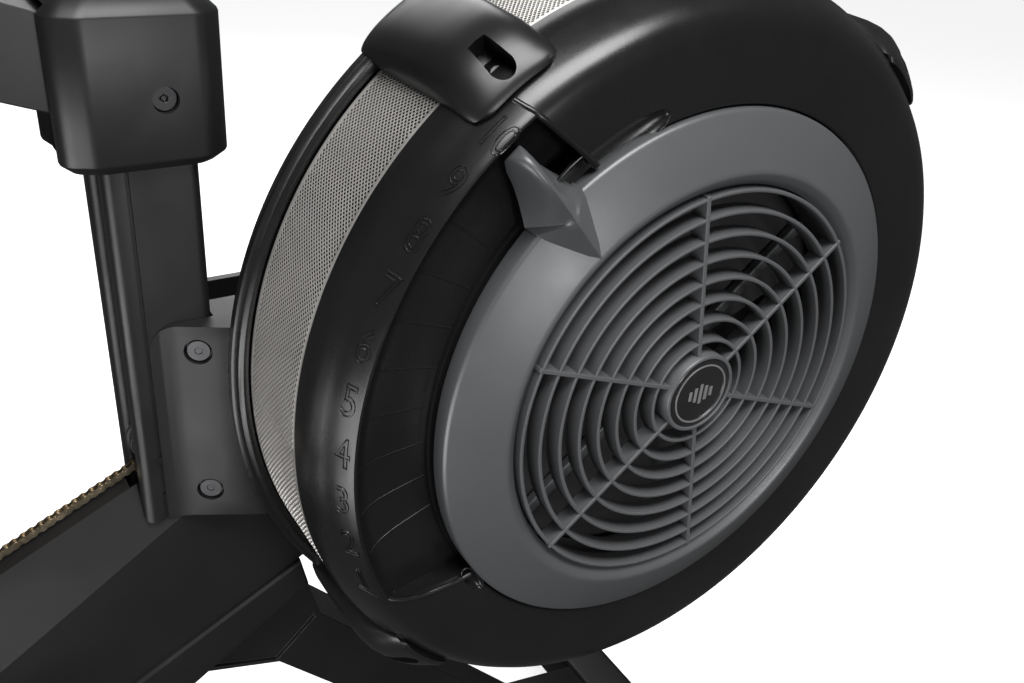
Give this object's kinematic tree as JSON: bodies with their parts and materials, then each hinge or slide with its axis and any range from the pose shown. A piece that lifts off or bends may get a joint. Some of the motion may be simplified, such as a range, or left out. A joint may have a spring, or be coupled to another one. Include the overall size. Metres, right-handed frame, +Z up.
{
  "type": "rowing machine",
  "caption": "Air-resistance rowing machine: caged flywheel with a damper dial and round grille, chain handle, rolling seat on a long rail, footboards and a console arm.",
  "frame": {"origin": "centre of the bounding box on the floor", "axes": "+X points from the seat end to the flywheel end, +Y to the left of a rower on the seat, +Z up"},
  "size_m": [2.5, 0.61, 1.0024],
  "materials": {
    "neck_shell": "satin black",
    "neck_main_tube": "satin black powder coat",
    "upright_near": "satin black",
    "upright_far": "satin black",
    "roller_pins": "plain",
    "arm_socket": "satin black",
    "socket_bolt": "black oxide",
    "axle_bracket": "satin black",
    "axle_bracket_far": "satin black",
    "axle_bearings": "ground",
    "inlet_plate": "matte black",
    "damper_side_cover": "gloss black",
    "chain_side_cover": "gloss black",
    "perforated_band": "perforated, satin",
    "cover_clamps": "satin black",
    "case_screws": "black oxide",
    "drive_chain": "nickel plated",
    "shock_cord": "braided",
    "handle_hook": "matte black",
    "front_leg": "satin black",
    "front_foot_bar": "satin black",
    "monorail": "anodised",
    "rail_tracks": "bright",
    "rail_stops": "matte black",
    "rear_leg": "satin black",
    "rear_foot_bar": "satin black",
    "rubber_feet": "moulded",
    "footboard_near": "matte black",
    "footboard_far": "matte black",
    "foot_frame": "satin black",
    "foot_straps": "woven",
    "axle": "ground",
    "flywheel_disc": "machined",
    "fan_blades": "matte black",
    "sprocket": "hardened",
    "damper_ring": "satin grey",
    "damper_grille": "satin grey",
    "hub_badge": "gloss black",
    "guide_roller_lower": "nylon",
    "guide_roller_upper": "nylon",
    "handle_bar": "satin",
    "handle_grips": "foam grip",
    "handle_yoke": "satin",
    "lead_chain": "nickel plated",
    "seat_pad": "soft moulded",
    "seat_shell": "satin black",
    "seat_carriage": "satin black",
    "seat_rollers_front": "hard wheel",
    "seat_rollers_rear": "hard wheel",
    "seat_guide_roller_near": "hard wheel",
    "seat_guide_roller_far": "hard wheel",
    "console_arm": "satin black",
    "console_housing": "satin",
    "console_screen": "clear",
    "console_button_left": "moulded",
    "console_button_right": "moulded",
    "heel_cup_near": "matte grey",
    "heel_cup_far": "matte grey",
    "transport_wheel_near": "hard wheel",
    "transport_wheel_far": "hard wheel"
  },
  "bodies": {
    "frame": {"neck_shell": "neck_shell", "neck_main_tube": "neck_main_tube", "upright_near": "upright_near", "upright_far": "upright_far", "roller_pins": "roller_pins", "arm_socket": "arm_socket", "socket_bolt": "socket_bolt", "axle_bracket": "axle_bracket", "axle_bracket_far": "axle_bracket_far", "axle_bearings": "axle_bearings", "inlet_plate": "inlet_plate", "damper_side_cover": "damper_side_cover", "chain_side_cover": "chain_side_cover", "perforated_band": "perforated_band", "cover_clamps": "cover_clamps", "case_screws": "case_screws", "drive_chain": "drive_chain", "shock_cord": "shock_cord", "handle_hook": "handle_hook", "front_leg": "front_leg", "front_foot_bar": "front_foot_bar", "monorail": "monorail", "rail_tracks": "rail_tracks", "rail_stops": "rail_stops", "rear_leg": "rear_leg", "rear_foot_bar": "rear_foot_bar", "rubber_feet": "rubber_feet", "footboard_near": "footboard_near", "footboard_far": "footboard_far", "foot_frame": "foot_frame", "foot_straps": "foot_straps"},
    "flywheel": {"axle": "axle", "flywheel_disc": "flywheel_disc", "fan_blades": "fan_blades"},
    "sprocket": {"sprocket": "sprocket"},
    "damper": {"damper_ring": "damper_ring", "damper_grille": "damper_grille", "hub_badge": "hub_badge"},
    "lower_guide": {"guide_roller_lower": "guide_roller_lower"},
    "upper_guide": {"guide_roller_upper": "guide_roller_upper"},
    "handle": {"handle_bar": "handle_bar", "handle_grips": "handle_grips", "handle_yoke": "handle_yoke"},
    "chain_lead": {"lead_chain": "lead_chain"},
    "seat": {"seat_pad": "seat_pad", "seat_shell": "seat_shell", "seat_carriage": "seat_carriage"},
    "front_rollers": {"seat_rollers_front": "seat_rollers_front"},
    "rear_rollers": {"seat_rollers_rear": "seat_rollers_rear"},
    "guide_roller_near": {"seat_guide_roller_near": "seat_guide_roller_near"},
    "guide_roller_far": {"seat_guide_roller_far": "seat_guide_roller_far"},
    "arm": {"console_arm": "console_arm"},
    "console": {"console_housing": "console_housing", "console_screen": "console_screen"},
    "button_left": {"console_button_left": "console_button_left"},
    "button_right": {"console_button_right": "console_button_right"},
    "cup_near": {"heel_cup_near": "heel_cup_near"},
    "cup_far": {"heel_cup_far": "heel_cup_far"},
    "wheel_near": {"transport_wheel_near": "transport_wheel_near"},
    "wheel_far": {"transport_wheel_far": "transport_wheel_far"}
  },
  "joints": [
    {"name": "flywheel_spin", "type": "hinge", "parent": "frame", "child": "flywheel", "pos_m": [0.973, -0.05, 0.6], "axis": [0, 1, 0], "continuous": true},
    {"name": "sprocket_spin", "type": "hinge", "parent": "frame", "child": "sprocket", "pos_m": [0.973, 0, 0.6], "axis": [0, 1, 0], "continuous": true},
    {"name": "damper_dial", "type": "hinge", "parent": "frame", "child": "damper", "pos_m": [0.973, -0.18, 0.6], "axis": [0, -1, 0], "range_deg": [0, 67.7]},
    {"name": "lower_guide_spin", "type": "hinge", "parent": "frame", "child": "lower_guide", "pos_m": [0.6577, 0, 0.5106], "axis": [0, 1, 0], "continuous": true},
    {"name": "upper_guide_spin", "type": "hinge", "parent": "frame", "child": "upper_guide", "pos_m": [0.655, 0, 0.5403], "axis": [0, 1, 0], "continuous": true},
    {"name": "handle_pull", "type": "slide", "parent": "frame", "child": "handle", "axis": [-0.9659, 0, 0.2588], "range_m": [0, 1.2], "stiffness_N_per_m": 25, "springref_m": -0.6},
    {"name": "chain_swing", "type": "hinge", "parent": "handle", "child": "chain_lead", "pos_m": [0.524, 0, 0.46365], "axis": [0, 1, 0], "range_deg": [0, 36.62]},
    {"name": "seat_slide", "type": "slide", "parent": "frame", "child": "seat", "axis": [1, 0, 0], "range_m": [-1.1, 0.19]},
    {"name": "front_rollers_spin", "type": "hinge", "parent": "seat", "child": "front_rollers", "pos_m": [0.128, 0, 0.4368], "axis": [0, 1, 0], "continuous": true},
    {"name": "rear_rollers_spin", "type": "hinge", "parent": "seat", "child": "rear_rollers", "pos_m": [-0.008, 0, 0.4368], "axis": [0, 1, 0], "continuous": true},
    {"name": "guide_roller_near_spin", "type": "hinge", "parent": "seat", "child": "guide_roller_near", "pos_m": [0.06, -0.021, 0.4017], "axis": [0, 1, 0], "continuous": true},
    {"name": "guide_roller_far_spin", "type": "hinge", "parent": "seat", "child": "guide_roller_far", "pos_m": [0.06, 0.021, 0.4017], "axis": [0, 1, 0], "continuous": true},
    {"name": "arm_raise", "type": "hinge", "parent": "frame", "child": "arm", "pos_m": [0.68, 0, 0.781], "axis": [0, 1, 0], "range_deg": [-23, 2]},
    {"name": "console_tilt", "type": "hinge", "parent": "arm", "child": "console", "pos_m": [0.25754, 0, 0.92399], "axis": [0, 1, 0], "range_deg": [-20, 20]},
    {"name": "button_left_press", "type": "slide", "parent": "console", "child": "button_left", "axis": [0.9063, 0, -0.4226], "range_m": [0, 0.0015], "stiffness_N_per_m": 500, "springref_m": -0.001},
    {"name": "button_right_press", "type": "slide", "parent": "console", "child": "button_right", "axis": [0.9063, 0, -0.4226], "range_m": [0, 0.0015], "stiffness_N_per_m": 500, "springref_m": -0.001},
    {"name": "heel_cup_near_slide", "type": "slide", "parent": "frame", "child": "cup_near", "axis": [0.7071, 0, 0.7071], "range_m": [-0.008, 0.042]},
    {"name": "heel_cup_far_slide", "type": "slide", "parent": "frame", "child": "cup_far", "axis": [0.7071, 0, 0.7071], "range_m": [-0.008, 0.042]},
    {"name": "wheel_near_spin", "type": "hinge", "parent": "frame", "child": "wheel_near", "pos_m": [1.177, -0.2675, 0.03], "axis": [0, 1, 0], "continuous": true},
    {"name": "wheel_far_spin", "type": "hinge", "parent": "frame", "child": "wheel_far", "pos_m": [1.177, 0.2675, 0.03], "axis": [0, 1, 0], "continuous": true}
  ],
  "couplings": [
    {"joint": "sprocket_spin", "follows": "handle_pull", "rad_per_m": -39.37},
    {"joint": "lower_guide_spin", "follows": "handle_pull", "rad_per_m": -75.758},
    {"joint": "upper_guide_spin", "follows": "handle_pull", "rad_per_m": 75.758},
    {"joint": "chain_swing", "follows": "handle_pull", "rad_per_m": 0.52827},
    {"joint": "front_rollers_spin", "follows": "seat_slide", "rad_per_m": 58.824},
    {"joint": "rear_rollers_spin", "follows": "seat_slide", "rad_per_m": 58.824},
    {"joint": "guide_roller_near_spin", "follows": "seat_slide", "rad_per_m": -125},
    {"joint": "guide_roller_far_spin", "follows": "seat_slide", "rad_per_m": -125}
  ]
}
